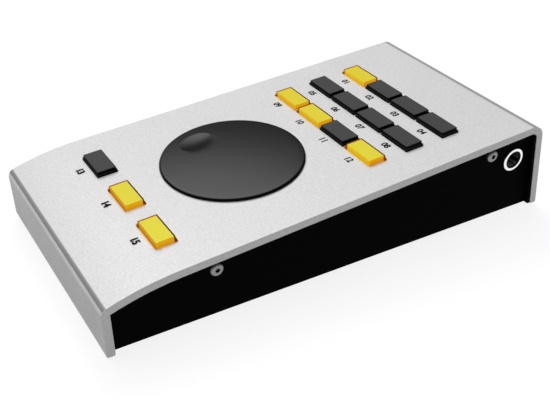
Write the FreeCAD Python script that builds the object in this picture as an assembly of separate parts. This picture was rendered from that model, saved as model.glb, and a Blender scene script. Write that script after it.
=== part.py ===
"""Studio monitor controller: a bent aluminium desk shell over a black steel tray, with one large
dial and fifteen lit push keys. Millimetres. +X is the right-hand end, +Y the raised rear, +Z up.
The origin lies on the desk, under the middle of the controller."""
import FreeCAD, Part
import math
import os

Vector = FreeCAD.Vector
X_AXIS = Vector(1, 0, 0)
Z_AXIS = Vector(0, 0, 1)

# Desk shell: one bent plate with a front leg and a rear leg
body_width = 110.0
body_depth = 220.0
rear_height = 44.5
plate_slope = 4.55
shell_thickness = 3.5
front_lean = 2.0
rear_lean = 8.5
nose_length = 31.0
nose_radius = 118.0
front_bend = 3.5
rear_bend = 6.8
leg_end_round = 0.7

# Steel tray inside the shell, and the feet below it
tray_thickness = 1.5
tray_lift = 0.5
tray_gap = 0.2
side_recess = 2.35
flange_set_back = 0.1
foot_height = 2.0
foot_radius = 5.0
foot_from_side = 14.0
foot_from_end = 18.0
foot_edge = 0.5

# Keys, measured down the slope of the plate from the rear
key_width = 18.4
key_depth = 9.4
key_gap = 1.2
key_clearance = 0.2
key_step_side = 0.6
key_step_front = 0.4
key_skirt_rise = 0.9
key_rise = 2.3
key_edge = 0.15
key_travel = 0.8
key_wall = 0.5
key_roof = 0.4
key_lip = 0.7
key_lip_thickness = 0.7
key_lip_gap = 0.15
rear_row_place = 47.0
row_spacing = 20.0
row_count = 3
column_count = 4
front_row_from_front = 33.6
front_key_count = 3
front_spacing_in_keys = 1.5

# Light core inside each key, with the stem that works the switch
core_clearance = 0.05
core_drop = 3.4
core_over_switch = 0.8
stem_radius = 1.6
stem_reach = 3.0

# Dial and its encoder
dial_off_middle = -0.1
dial_radius = 32.1
dial_gap = 0.2
dial_rim_rise = 1.35
dial_crown_rise = 2.6
dial_edge_round = 1.1
dial_hollow_depth = 0.3
dial_rim_wall = 2.4
dish_distance = 22.05
dish_angle = 202.25
dish_half_length = 8.9
dish_half_width = 6.1
dish_depth = 1.0
hub_radius = 8.0
hub_height = 1.4
hub_clearance = 0.05
shaft_radius = 3.0
shaft_in_hub = 1.0
shaft_clearance = 0.03
shaft_press_clearance = 0.01
bushing_radius = 4.5
bushing_clearance = 0.2
bushing_below_face = 0.3
encoder_side = 13.2
encoder_gap = 0.5
rotor_radius = 4.6
rotor_height = 1.4
rotor_clearance = 0.2
encoder_floor = 0.9

# Circuit board, hung below the plate, and what stands on it
board_thickness = 1.6
board_edge_gap = 1.05
board_from_rear = 13.0
board_past_front_row = 11.0
switch_side = 6.2
switch_height = 4.0
switch_well_clearance = 0.15
switch_well_floor = 0.8
tab_width = 1.2
tab_length = 3.0
tab_height = 0.3
led_from_centre = 5.6
led_width = 1.6
led_length = 3.2
led_height = 0.9
chip_side = 12.0
chip_height = 1.2
chip_behind_dial = 24.9
standoff_radius = 2.5
standoff_bore = 1.25
standoff_from_edge = 5.0
standoff_from_rear = 32.0
standoff_from_front = 48.7
board_screw_hole = 1.45
board_screw_head_radius = 2.3
board_screw_head_height = 1.5
board_screw_length = 4.5
board_screw_clearance = 0.05

# Threaded blocks below the plate, and the four screws through the sides of the tray
block_width = 8.0
block_length = 9.0
block_height = 9.5
block_gap = 0.1
screw_depth = 7.87
screw_from_rear = 34.8
screw_from_front = 46.6
screw_radius = 1.5
screw_thread_clearance = 0.05
screw_hole_clearance = 0.2
screw_head_radius = 2.85
screw_head_height = 1.65
screw_head_round = 1.0
screw_length = 7.0
screw_socket_radius = 1.15
screw_socket_depth = 1.0

# Jack socket in the right-hand side
jack_place = 20.65
jack_bore_radius = 3.25
jack_bore_length = 18.0
jack_body_length = 18.0
jack_body_width = 13.0
jack_barrel_radius = 4.3
jack_barrel_proud = 0.35
jack_hole_clearance = 0.2
jack_ring_radius = 5.65
jack_ring_clearance = 0.05
jack_ring_thickness = 0.6
jack_ring_round = 0.28
jack_drop = 4.5
jack_slot_width = 2.0
jack_slot_length = 9.0
jack_spring_thickness = 0.4
jack_spring_width = 1.6
jack_spring_clearance = 0.15

# Square data socket in the rear leg
usb_width = 12.0
usb_height = 10.9
usb_length = 16.0
usb_mouth_recess = 0.24
usb_wall = 0.4
usb_fit = 0.05
usb_cavity_width = 8.6
usb_cavity_height = 7.9
usb_cavity_depth = 9.0
usb_corner = 1.6
usb_tongue_width = 5.6
usb_tongue_height = 3.2
usb_contact_width = 1.0
usb_contact_height = 0.25
usb_contact_length = 7.0
usb_contact_spacing = 2.5
usb_opening_clearance = 0.3

# Heights above the plate's face, and places down its slope from the rear
slope = math.radians(plate_slope)
plate_length = body_depth / math.cos(slope)
plate_underside = -shell_thickness
board_top = -(core_drop + key_travel + core_over_switch + switch_height)
board_bottom = board_top - board_thickness
encoder_top = plate_underside - encoder_gap
jack_depth = -board_bottom + jack_drop
key_pitch = key_width + key_gap
last_rear_row_place = rear_row_place + (row_count - 1) * row_spacing
front_row_place = plate_length - front_row_from_front
dial_place = (last_rear_row_place + front_row_place) / 2 + dial_off_middle
chip_place = dial_place - chip_behind_dial
screw_places = (screw_from_rear, plate_length - screw_from_front)
standoff_ends = (standoff_from_rear, plate_length - standoff_from_front)
standoff_places = (standoff_ends[0], sum(standoff_ends) / 2, standoff_ends[1])

# Distances from the middle of the body, and from the legs' ends to the desk
side_face = body_width / 2 - side_recess
side_inner_face = side_face - tray_thickness
board_half_width = side_inner_face - block_gap - block_width - board_edge_gap
leg_lift = foot_height - tray_lift
through = 1.0


def point(y, z):
    """A point of the side profile."""
    return Vector(0, y, z)


def bend_arc(centre, radius, start, end):
    """The short arc about centre from one tangent direction to the next."""
    middle = start + end
    middle.normalize()
    return Part.Arc(centre + start * radius, centre + middle * radius, centre + end * radius).toShape()


def crossing(p, d, q, e):
    """Where the line through p along d meets the line through q along e, in the profile plane."""
    det = d.y * e.z - d.z * e.y
    t = ((q.y - p.y) * e.z - (q.z - p.z) * e.y) / det
    return p + d * t


def on_circle(p, d, centre, radius):
    """The upper point where the line through p along d meets a circle."""
    rel = p - centre
    half = rel.dot(d)
    root = math.sqrt(half * half - rel.dot(rel) + radius * radius)
    return p + d * (root - half)


def skin(inset, bottom):
    """The side profile of the shell, moved inwards by inset and cut off level at bottom."""
    plate_dir = point(math.cos(slope), math.sin(slope))
    plate_out = point(-math.sin(slope), math.cos(slope))
    front = math.radians(front_lean)
    front_dir = point(-math.sin(front), math.cos(front))
    front_out = point(-math.cos(front), -math.sin(front))
    rear = math.radians(rear_lean)
    rear_dir = point(-math.sin(rear), math.cos(rear))
    rear_out = point(math.cos(rear), math.sin(rear))
    front_foot = point(-body_depth, 0)
    plate_origin = point(0, rear_height)

    nose_start = plate_origin - plate_dir * ((body_depth - nose_length) / math.cos(slope))
    nose_centre = nose_start - plate_out * nose_radius
    nose_inset = nose_radius - inset
    flat_end = nose_centre + plate_out * nose_inset
    bend_centre = on_circle(front_foot - front_out * front_bend, front_dir, nose_centre,
                            nose_radius - front_bend)
    nose_out = bend_centre - nose_centre
    nose_out.normalize()
    rear_centre = crossing(plate_origin - plate_out * rear_bend, plate_dir,
                           rear_out * -rear_bend, rear_dir)

    front_line = front_foot - front_out * inset
    rear_line = rear_out * -inset
    level = point(1, 0)
    front_low = crossing(front_line, front_dir, point(0, bottom), level)
    rear_low = crossing(rear_line, rear_dir, point(0, bottom), level)

    edges = []
    front_radius = front_bend - inset
    if front_radius > 0.01:
        front_high = bend_centre + front_out * front_radius
        nose_end = bend_centre + nose_out * front_radius
        edges.append(Part.LineSegment(front_low, front_high).toShape())
        edges.append(bend_arc(bend_centre, front_radius, front_out, nose_out))
    else:
        nose_end = on_circle(front_line, front_dir, nose_centre, nose_inset)
        nose_out = nose_end - nose_centre
        nose_out.normalize()
        edges.append(Part.LineSegment(front_low, nose_end).toShape())
    edges.append(bend_arc(nose_centre, nose_inset, nose_out, plate_out))

    rear_radius = rear_bend - inset
    if rear_radius > 0.01:
        edges.append(Part.LineSegment(flat_end, rear_centre + plate_out * rear_radius).toShape())
        edges.append(bend_arc(rear_centre, rear_radius, plate_out, rear_out))
        edges.append(Part.LineSegment(rear_centre + rear_out * rear_radius, rear_low).toShape())
    else:
        corner = crossing(rear_line, rear_dir, flat_end, plate_dir)
        edges.append(Part.LineSegment(flat_end, corner).toShape())
        edges.append(Part.LineSegment(corner, rear_low).toShape())
    edges.append(Part.LineSegment(rear_low, front_low).toShape())
    return Part.Face(Part.Wire(edges))


def span(face, x0, x1):
    """A profile face pushed out along X from x0 to x1."""
    solid = face.extrude(Vector(x1 - x0, 0, 0))
    solid.translate(Vector(x0, 0, 0))
    return solid


def block(x0, x1, y0, y1, z0, z1):
    return Part.makeBox(x1 - x0, y1 - y0, z1 - z0, Vector(x0, y0, z0))


def centred_block(x, y, width, length, z0, z1):
    return block(x - width / 2, x + width / 2, y - length / 2, y + length / 2, z0, z1)


def post(x, y, radius, z0, z1):
    return Part.makeCylinder(radius, z1 - z0, Vector(x, y, z0), Z_AXIS)


def pin_along_x(x0, x1, y, z, radius):
    return Part.makeCylinder(radius, x1 - x0, Vector(x0, y, z), X_AXIS)


def edges_where(solid, test):
    return [edge for edge in solid.Edges if test(edge)]


def level_edge(height):
    """Picks the edges that lie level at a height."""
    return lambda edge: all(abs(v.Point.z - height) < 1e-4 for v in edge.Vertexes)


def on_slope(shape):
    """Lays a shape drawn with the plate's face as its XY plane onto the sloping plate."""
    moved = shape.copy()
    moved.rotate(Vector(0, 0, 0), X_AXIS, plate_slope)
    moved.translate(Vector(0, 0, rear_height))
    return moved


def key_places():
    """Centre of each key on the plate, from the left rear key to the right front key."""
    places = []
    for row in range(row_count):
        for column in range(column_count):
            x = (column - (column_count - 1) / 2) * key_pitch
            places.append((x, -(rear_row_place + row * row_spacing)))
    for column in range(front_key_count):
        x = (column - (front_key_count - 1) / 2) * key_pitch * front_spacing_in_keys
        places.append((x, -front_row_place))
    return places


def screw_points():
    """Each side screw: which side it is on, and its distance down the slope."""
    return [(side, -place) for side in (1, -1) for place in screw_places]


def standoff_points():
    from_axis = board_half_width - standoff_from_edge
    return [(side * from_axis, -place) for side in (1, -1) for place in standoff_places]


def make_shell():
    outer = span(skin(0.0, 0.0), -body_width / 2, body_width / 2)
    inner = span(skin(shell_thickness, -through), -body_width / 2 - through, body_width / 2 + through)
    shell = outer.cut(inner)
    ends = edges_where(shell, lambda e: level_edge(0.0)(e) and abs(e.tangentAt(e.FirstParameter).x) > 0.9)
    shell = shell.makeFillet(leg_end_round, ends)
    cuts = []
    for x, y in key_places():
        width = key_width + 2 * key_clearance
        length = key_depth + 2 * key_clearance
        cuts.append(centred_block(x, y, width, length, plate_underside - through, through))
    cuts.append(post(0, -dial_place, bushing_radius + bushing_clearance, plate_underside - through, through))
    cuts.append(usb_opening())
    return shell.cut([on_slope(cut) for cut in cuts])


def usb_mouth_place():
    """How far down the slope the data socket's mouth lies, just inside the rear leg's face."""
    lean = math.tan(math.radians(rear_lean))
    height = rear_height + board_bottom * math.cos(slope)
    face = (height * lean - board_bottom * math.sin(slope)) / (math.cos(slope) + math.sin(slope) * lean)
    return face + usb_mouth_recess


def usb_opening():
    """The hole that the data socket passes through, in the rear leg and the tray."""
    margin = usb_opening_clearance
    return block(-usb_width / 2 - margin, usb_width / 2 + margin, -usb_mouth_place() - usb_length,
                 rear_bend, board_bottom - usb_height - margin, board_bottom + margin)


def make_tray():
    """A folded tray. Its rear wall is as wide as the shell, and its sides stand back from the edge."""
    face_inset = shell_thickness + tray_gap
    wall_inset = face_inset + tray_thickness
    half_flange = body_width / 2 - flange_set_back
    body = span(skin(face_inset, tray_lift), -half_flange, half_flange)
    room = tray_room(wall_inset, wall_inset, tray_lift + tray_thickness)
    body = body.cut(span(room, -side_inner_face, side_inner_face))
    notch = tray_room(shell_thickness, wall_inset, tray_lift - through)
    for side in (1, -1):
        ends = sorted((side * side_face, side * (body_width / 2 + through)))
        body = body.cut(span(notch, ends[0], ends[1]))
    cuts = [on_slope(usb_opening())]
    for side, y in screw_points():
        ends = sorted((side * (side_inner_face - through), side * (side_face + through)))
        radius = screw_radius + screw_hole_clearance
        cuts.append(on_slope(pin_along_x(ends[0], ends[1], y, -screw_depth, radius)))
    radius = jack_barrel_radius + jack_hole_clearance
    cuts.append(on_slope(pin_along_x(side_inner_face - through, side_face + through,
                                     -jack_place, -jack_depth, radius)))
    return body.cut(cuts)


def tray_room(front_inset, rear_inset, bottom):
    """The space between two planes, one inside each leg of the shell, open at the top."""
    front = math.radians(front_lean)
    rear = math.radians(rear_lean)
    top = rear_height + through
    front_foot = -body_depth + front_inset / math.cos(front)
    rear_foot = -rear_inset / math.cos(rear)
    corners = [
        point(front_foot - bottom * math.tan(front), bottom),
        point(front_foot - top * math.tan(front), top),
        point(rear_foot - top * math.tan(rear), top),
        point(rear_foot - bottom * math.tan(rear), bottom),
    ]
    return Part.Face(Part.makePolygon(corners + corners[:1]))


def make_feet():
    feet = []
    for side in (1, -1):
        for y in (-foot_from_end, -body_depth + foot_from_end):
            x = side * (body_width / 2 - foot_from_side)
            foot = post(x, y, foot_radius, tray_lift - foot_height, tray_lift)
            rim = edges_where(foot, level_edge(tray_lift - foot_height))
            feet.append(foot.makeFillet(foot_edge, rim))
    return Part.makeCompound(feet)


def make_blocks():
    blocks = []
    for side, y in screw_points():
        outer = side_inner_face - block_gap
        centre = side * (outer - block_width / 2)
        solid = centred_block(centre, y, block_width, block_length,
                              plate_underside - block_height, plate_underside)
        radius = screw_radius + screw_thread_clearance
        half = block_width / 2 + through
        solid = solid.cut(pin_along_x(centre - half, centre + half, y, -screw_depth, radius))
        blocks.append(on_slope(solid))
    return Part.makeCompound(blocks)


def make_side_screws():
    """Button-head socket screws, drawn pointing along -X and turned for the left side."""
    screws = []
    for side, y in screw_points():
        head = pin_along_x(side_face, side_face + screw_head_height, 0, 0, screw_head_radius)
        rim = edges_where(head, lambda e: e.BoundBox.XMin > side_face + screw_head_height / 2)
        head = head.makeFillet(screw_head_round, rim)
        shank = pin_along_x(side_face - screw_length, side_face, 0, 0, screw_radius)
        corners = []
        for k in range(7):
            turn = math.radians(60 * k)
            corners.append(Vector(side_face + screw_head_height - screw_socket_depth,
                                  screw_socket_radius * math.cos(turn),
                                  screw_socket_radius * math.sin(turn)))
        socket = Part.Face(Part.makePolygon(corners)).extrude(Vector(screw_socket_depth + through, 0, 0))
        screw = head.fuse(shank).removeSplitter().cut(socket)
        if side < 0:
            screw.rotate(Vector(0, 0, 0), Z_AXIS, 180)
        screw.translate(Vector(0, y, -screw_depth))
        screws.append(on_slope(screw))
    return Part.makeCompound(screws)


def make_board():
    front = -front_row_place - board_past_front_row
    board = block(-board_half_width, board_half_width, front, -board_from_rear, board_bottom, board_top)
    holes = [post(x, y, board_screw_hole, board_bottom - through, board_top + through)
             for x, y in standoff_points()]
    return on_slope(board.cut(holes))


def make_standoffs():
    posts = []
    for x, y in standoff_points():
        solid = post(x, y, standoff_radius, board_top, plate_underside)
        posts.append(on_slope(solid.cut(post(x, y, standoff_bore, board_top - through, plate_underside))))
    return Part.makeCompound(posts)


def make_board_screws():
    screws = []
    for x, y in standoff_points():
        head = post(x, y, board_screw_head_radius, board_bottom - board_screw_head_height, board_bottom)
        shank = post(x, y, standoff_bore - board_screw_clearance, board_bottom,
                     board_bottom + board_screw_length)
        screws.append(on_slope(head.fuse(shank).removeSplitter()))
    return Part.makeCompound(screws)


def make_switch_bodies():
    bodies = []
    for x, y in key_places():
        solid = centred_block(x, y, switch_side, switch_side, board_top, board_top + switch_height)
        well = post(x, y, stem_radius + switch_well_clearance, board_top + switch_well_floor,
                    board_top + switch_height + through)
        bodies.append(on_slope(solid.cut(well)))
    return Part.makeCompound(bodies)


def make_switch_tabs():
    tabs = []
    for x, y in key_places():
        for side in (1, -1):
            place = x + side * (switch_side + tab_width) / 2
            tabs.append(on_slope(centred_block(place, y, tab_width, tab_length,
                                               board_top, board_top + tab_height)))
    return Part.makeCompound(tabs)


def make_leds():
    lamps = []
    for x, y in key_places():
        for side in (1, -1):
            lamps.append(on_slope(centred_block(x + side * led_from_centre, y, led_width, led_length,
                                                board_top, board_top + led_height)))
    return Part.makeCompound(lamps)


def make_key_cap(x, y):
    """A stepped cap: a skirt that runs in the plate's opening, a smaller top and two holding lips."""
    lip_top = plate_underside - key_lip_gap
    skirt_bottom = lip_top - key_lip_thickness
    skirt = centred_block(x, y, key_width, key_depth, skirt_bottom, key_skirt_rise)
    lips = centred_block(x, y, key_width, key_depth + 2 * key_lip, skirt_bottom, lip_top)
    top_width = key_width - 2 * key_step_side
    top_depth = key_depth - 2 * key_step_front
    top = centred_block(x, y, top_width, top_depth, skirt_bottom, key_rise)
    top = top.makeChamfer(key_edge, edges_where(top, level_edge(key_rise)))
    cap = skirt.fuse([lips, top]).removeSplitter()
    hollow = centred_block(x, y, top_width - 2 * key_wall, top_depth - 2 * key_wall,
                           skirt_bottom - through, key_rise - key_roof)
    return on_slope(cap.cut(hollow))


def make_key_core(x, y):
    """The light-spreading core that fills the cap, with the stem that reaches into the switch."""
    margin = key_wall + core_clearance
    width = key_width - 2 * key_step_side - 2 * margin
    depth = key_depth - 2 * key_step_front - 2 * margin
    bottom = -core_drop
    core = centred_block(x, y, width, depth, bottom, key_rise - key_roof - core_clearance)
    stem = post(x, y, stem_radius, bottom - stem_reach, bottom)
    return on_slope(core.fuse(stem).removeSplitter())


def crown_radius():
    rise = dial_crown_rise - dial_rim_rise
    return (dial_radius ** 2 + rise ** 2) / (2 * rise)


def make_dial():
    """The dial: a shallow domed disc, hollow below, with a finger dish near its edge."""
    rim = Vector(dial_radius, 0, dial_rim_rise)
    crown = Vector(0, 0, dial_crown_rise)
    centre_z = dial_crown_rise - crown_radius()
    half_turn = math.asin(dial_radius / crown_radius()) / 2
    middle = Vector(crown_radius() * math.sin(half_turn), 0, centre_z + crown_radius() * math.cos(half_turn))
    base_in = Vector(0, 0, dial_gap)
    base_out = Vector(dial_radius, 0, dial_gap)
    outline = Part.Wire([
        Part.LineSegment(base_in, base_out).toShape(),
        Part.LineSegment(base_out, rim).toShape(),
        Part.Arc(rim, middle, crown).toShape(),
        Part.LineSegment(crown, base_in).toShape(),
    ])
    dial = Part.Face(outline).revolve(Vector(0, 0, 0), Z_AXIS, 360)
    rim_edges = edges_where(dial, lambda e: level_edge(dial_rim_rise)(e) and e.Length > dial_radius)
    dial = dial.makeFillet(dial_edge_round, rim_edges)

    hollow_top = dial_gap + dial_hollow_depth
    hub_wall = hub_radius + dial_rim_wall
    hollow = post(0, 0, dial_radius - dial_rim_wall, dial_gap - through, hollow_top)
    hollow = hollow.cut(post(0, 0, hub_wall, dial_gap - through, hollow_top))
    seat = post(0, 0, hub_radius + hub_clearance, dial_gap - through, dial_gap + hub_height)
    turn = math.radians(dish_angle)
    surface = centre_z + math.sqrt(crown_radius() ** 2 - dish_distance ** 2)
    ball_radius = (dish_half_length ** 2 + dish_depth ** 2) / (2 * dish_depth)
    squeeze = FreeCAD.Matrix()
    squeeze.scale(Vector(dish_half_width / dish_half_length, 1, 1))
    ball = Part.makeSphere(ball_radius, Vector(0, 0, ball_radius)).transformGeometry(squeeze)
    ball.rotate(Vector(0, 0, 0), Z_AXIS, dish_angle)
    ball.translate(Vector(dish_distance * math.cos(turn), dish_distance * math.sin(turn), surface - dish_depth))
    dial = dial.cut([hollow, seat, ball])
    dial.translate(Vector(0, -dial_place, 0))
    return on_slope(dial)


def make_hub():
    hub = post(0, -dial_place, hub_radius, dial_gap, dial_gap + hub_height)
    bore = post(0, -dial_place, shaft_radius + shaft_press_clearance, dial_gap - through,
                dial_gap + shaft_in_hub)
    return on_slope(hub.cut(bore))


def rotor_bottom():
    return board_top + encoder_floor + rotor_clearance


def make_encoder_shaft():
    """The dial's shaft, with the rotor disc that turns inside the encoder."""
    bottom = rotor_bottom()
    shaft = post(0, -dial_place, shaft_radius, bottom, dial_gap + shaft_in_hub)
    rotor = post(0, -dial_place, rotor_radius, bottom, bottom + rotor_height)
    return on_slope(shaft.fuse(rotor).removeSplitter())


def make_encoder_body():
    floor = board_top + encoder_floor
    body = centred_block(0, -dial_place, encoder_side, encoder_side, board_top, encoder_top)
    chamber = post(0, -dial_place, rotor_radius + rotor_clearance, floor,
                   rotor_bottom() + rotor_height + rotor_clearance)
    neck = post(0, -dial_place, shaft_radius + shaft_clearance, floor, encoder_top + through)
    return on_slope(body.cut([chamber, neck]))


def make_bushing():
    tube = post(0, -dial_place, bushing_radius, encoder_top, -bushing_below_face)
    return on_slope(tube.cut(post(0, -dial_place, shaft_radius + shaft_clearance,
                                  encoder_top - through, through)))


def make_chip():
    return on_slope(centred_block(0, -chip_place, chip_side, chip_side, board_bottom - chip_height, board_bottom))


def jack_mouth():
    return side_face + jack_barrel_proud


def make_jack_body():
    """The socket's moulding: a block below the board and a round barrel through the tray's side."""
    rear = side_inner_face - block_gap
    body = centred_block(rear - jack_body_length / 2, -jack_place, jack_body_length, jack_body_width,
                         -jack_depth - jack_drop, board_bottom)
    barrel = pin_along_x(rear, jack_mouth(), -jack_place, -jack_depth, jack_barrel_radius)
    bore = pin_along_x(jack_mouth() - jack_bore_length, jack_mouth() + through,
                       -jack_place, -jack_depth, jack_bore_radius)
    slots = jack_slots(jack_slot_width)
    return on_slope(body.fuse(barrel).removeSplitter().cut([bore] + slots))


def jack_slots(width):
    """Slots through the moulding in front of and behind the bore, for the contact springs."""
    start = jack_mouth() - jack_bore_length + jack_slot_width
    slots = []
    for side in (1, -1):
        outer = -jack_place + side * (jack_body_width / 2 + through)
        ends = sorted((-jack_place, outer))
        slots.append(block(start, start + jack_slot_length, ends[0], ends[1],
                           -jack_depth - width / 2, -jack_depth + width / 2))
    return slots


def make_jack_ring():
    ring = pin_along_x(side_face, side_face + jack_ring_thickness, -jack_place, -jack_depth, jack_ring_radius)
    rim = edges_where(ring, lambda e: e.BoundBox.XMin > side_face + jack_ring_thickness / 2)
    ring = ring.makeFillet(jack_ring_round, rim)
    hole = pin_along_x(side_face - through, side_face + jack_ring_thickness + through, -jack_place,
                       -jack_depth, jack_barrel_radius + jack_ring_clearance)
    return on_slope(ring.cut(hole))


def make_jack_contacts():
    """One flat contact spring in each slot, just outside the bore."""
    start = jack_mouth() - jack_bore_length + jack_slot_width
    springs = []
    for side in (1, -1):
        inner = jack_bore_radius + jack_spring_clearance
        centre = -jack_place + side * (inner + jack_spring_thickness / 2)
        springs.append(on_slope(block(start, start + jack_slot_length,
                                      centre - jack_spring_thickness / 2, centre + jack_spring_thickness / 2,
                                      -jack_depth - jack_spring_width / 2,
                                      -jack_depth + jack_spring_width / 2)))
    return Part.makeCompound(springs)


def usb_middle():
    return board_bottom - usb_height / 2


def make_usb_shell():
    rear = -usb_mouth_place()
    shell = centred_block(0, rear - usb_length / 2, usb_width, usb_length, board_bottom - usb_height,
                          board_bottom)
    room = block(-usb_width / 2 + usb_wall, usb_width / 2 - usb_wall, rear - usb_length + usb_wall,
                 rear + through, board_bottom - usb_height + usb_wall, board_bottom - usb_wall)
    return on_slope(shell.cut(room))


def make_usb_insert():
    """The socket's plastic core, with its cavity and the tongue that carries the contacts."""
    rear = -usb_mouth_place()
    inset = usb_wall + usb_fit
    core = block(-usb_width / 2 + inset, usb_width / 2 - inset, rear - usb_length + inset, rear - inset,
                 board_bottom - usb_height + inset, board_bottom - inset)
    cavity = centred_block(0, rear - usb_cavity_depth / 2, usb_cavity_width, usb_cavity_depth + 2 * through,
                           usb_middle() - usb_cavity_height / 2, usb_middle() + usb_cavity_height / 2)
    top = usb_middle() + usb_cavity_height / 2
    corners = edges_where(cavity, lambda e: level_edge(top)(e) and abs(e.tangentAt(e.FirstParameter).y) > 0.9)
    cavity = cavity.makeChamfer(usb_corner, corners)
    tongue = block(-usb_tongue_width / 2, usb_tongue_width / 2, rear - usb_length + usb_wall + usb_fit,
                   rear - 2 * inset, usb_middle() - usb_tongue_height / 2,
                   usb_middle() + usb_tongue_height / 2)
    return on_slope(core.cut(cavity).fuse(tongue).removeSplitter())


def make_usb_contacts():
    rear = -usb_mouth_place()
    front_end = rear - 2 * (usb_wall + usb_fit) - through / 2
    strips = []
    for side in (1, -1):
        for place in (1, -1):
            x = place * usb_contact_spacing / 2
            face = usb_middle() + side * usb_tongue_height / 2
            ends = sorted((face, face + side * usb_contact_height))
            strips.append(on_slope(block(x - usb_contact_width / 2, x + usb_contact_width / 2,
                                         front_end - usb_contact_length, front_end, ends[0], ends[1])))
    return Part.makeCompound(strips)


def build_parts():
    parts = {
        "top_shell": make_shell(),
        "base_tray": make_tray(),
        "rubber_feet": make_feet(),
        "shell_blocks": make_blocks(),
        "side_screws": make_side_screws(),
        "main_board": make_board(),
        "board_standoffs": make_standoffs(),
        "board_screws": make_board_screws(),
        "switch_bodies": make_switch_bodies(),
        "switch_tabs": make_switch_tabs(),
        "key_leds": make_leds(),
        "controller_chip": make_chip(),
        "encoder_body": make_encoder_body(),
        "encoder_bushing": make_bushing(),
        "encoder_shaft": make_encoder_shaft(),
        "dial": make_dial(),
        "dial_hub": make_hub(),
        "jack_body": make_jack_body(),
        "jack_ring": make_jack_ring(),
        "jack_contacts": make_jack_contacts(),
        "usb_shell": make_usb_shell(),
        "usb_insert": make_usb_insert(),
        "usb_contacts": make_usb_contacts(),
    }
    for number, (x, y) in enumerate(key_places(), start=1):
        parts[f"key_cap_{number:02d}"] = make_key_cap(x, y)
        parts[f"key_core_{number:02d}"] = make_key_core(x, y)
    return parts


def main():
    os.makedirs("parts", exist_ok=True)
    parts = build_parts()
    middle = -parts["top_shell"].BoundBox.Center.y
    for name, shape in parts.items():
        shape.translate(Vector(0, middle, leg_lift))
        shape.exportStep(f"parts/{name}.step")
    print("nodes", len(parts), "middle", round(middle, 4), "lift", leg_lift)


main()
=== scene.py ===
# %% [markdown]
# # A studio monitor controller
# This lesson dresses a finished CAD model of a desk controller: a bent silver plate over a black
# steel tray, one large dial and fifteen push keys, six of them glowing. Every solid is already in
# its place, so the work here is in edges, finishes, light and the small things that CAD leaves out.
# The first cell loads the solids. They come in metres, with the desk at height zero.

# %% Load the solids
import math

import bmesh
import bpy
from mathutils import Matrix, Vector


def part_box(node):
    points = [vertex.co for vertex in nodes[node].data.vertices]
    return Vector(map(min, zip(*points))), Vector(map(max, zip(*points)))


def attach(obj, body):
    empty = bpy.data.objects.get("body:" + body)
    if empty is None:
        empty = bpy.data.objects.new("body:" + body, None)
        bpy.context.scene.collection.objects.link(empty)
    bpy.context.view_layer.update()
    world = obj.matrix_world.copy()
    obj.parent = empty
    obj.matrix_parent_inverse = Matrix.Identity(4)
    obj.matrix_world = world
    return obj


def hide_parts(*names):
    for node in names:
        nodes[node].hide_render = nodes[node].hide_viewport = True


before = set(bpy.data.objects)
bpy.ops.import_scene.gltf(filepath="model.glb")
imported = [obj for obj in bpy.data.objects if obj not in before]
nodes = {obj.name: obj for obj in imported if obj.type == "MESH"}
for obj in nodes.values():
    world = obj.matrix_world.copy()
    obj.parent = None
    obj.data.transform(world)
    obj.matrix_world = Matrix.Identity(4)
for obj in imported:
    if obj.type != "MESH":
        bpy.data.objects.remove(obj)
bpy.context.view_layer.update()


def short(numbers, places=4):
    """Numbers rounded for printing."""
    return [round(number, places) for number in numbers]


# %% [markdown]
# ## The sloping plate
# Nearly everything a hand touches sits on the sloping plate. Working out the slope for each key
# would be slow and easy to get wrong. It is simpler to describe a place as so far across, so far
# down the slope and so high above the metal, and let one matrix turn that into a real place.

# %% A frame of reference on the plate
mm = 0.001
plate_slope = math.radians(4.55)
plate_rear_edge = Vector((0, 110.4043 * mm, 46.0 * mm))
plate_frame = Matrix.Translation(plate_rear_edge) @ Matrix.Rotation(plate_slope, 4, "X")
plate_normal = plate_frame.to_3x3() @ Vector((0, 0, 1))


def on_plate(across, down, up=0.0):
    """The matrix of a place on the plate, in millimetres, with Z standing square to the metal."""
    return plate_frame @ Matrix.Translation(Vector((across, -down, up)) * mm)


print("the plate's normal is", short(plate_normal, 3))

# %% [markdown]
# ## The camera
# A picture taken close by has strong perspective: the near edges spread and the far ones close up.
# The lens and the place of the camera both shape that, so they are set together, from the
# angles at which a real camera saw the object. A little sideways shift frames it without a turn.

# %% Camera
image_width = 550
image_height = 400
focal_pixels = 853.4455
principal_point = (263.825, 209.606)
sensor_width = 36.0
camera_azimuth = math.radians(58.456)
camera_elevation = math.radians(33.856)
camera_roll = math.radians(1.4847)
camera_target = Vector((23.248, -23.6079, 21.5)) * mm
camera_distance = 365.2985 * mm

back = Vector((math.sin(camera_azimuth) * math.cos(camera_elevation),
               -math.cos(camera_azimuth) * math.cos(camera_elevation),
               math.sin(camera_elevation)))
level_right = Vector((0, 0, 1)).cross(back).normalized()
level_up = back.cross(level_right)
right = level_right * math.cos(camera_roll) + level_up * math.sin(camera_roll)
up = level_up * math.cos(camera_roll) - level_right * math.sin(camera_roll)

camera_data = bpy.data.cameras.new("camera")
camera_data.sensor_width = sensor_width
camera_data.lens = focal_pixels * sensor_width / image_width
camera_data.shift_x = (image_width / 2 - principal_point[0]) / image_width
camera_data.shift_y = (principal_point[1] - image_height / 2) / image_width
camera_data.clip_start = 10 * mm
camera = bpy.data.objects.new("camera", camera_data)
bpy.context.scene.collection.objects.link(camera)
turned = Matrix((right, up, back)).transposed().to_4x4()
camera.matrix_world = Matrix.Translation(camera_target + back * camera_distance) @ turned
bpy.context.scene.camera = camera
print("lens", round(camera_data.lens, 2), "mm, camera at", short(camera.location, 3))

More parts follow.
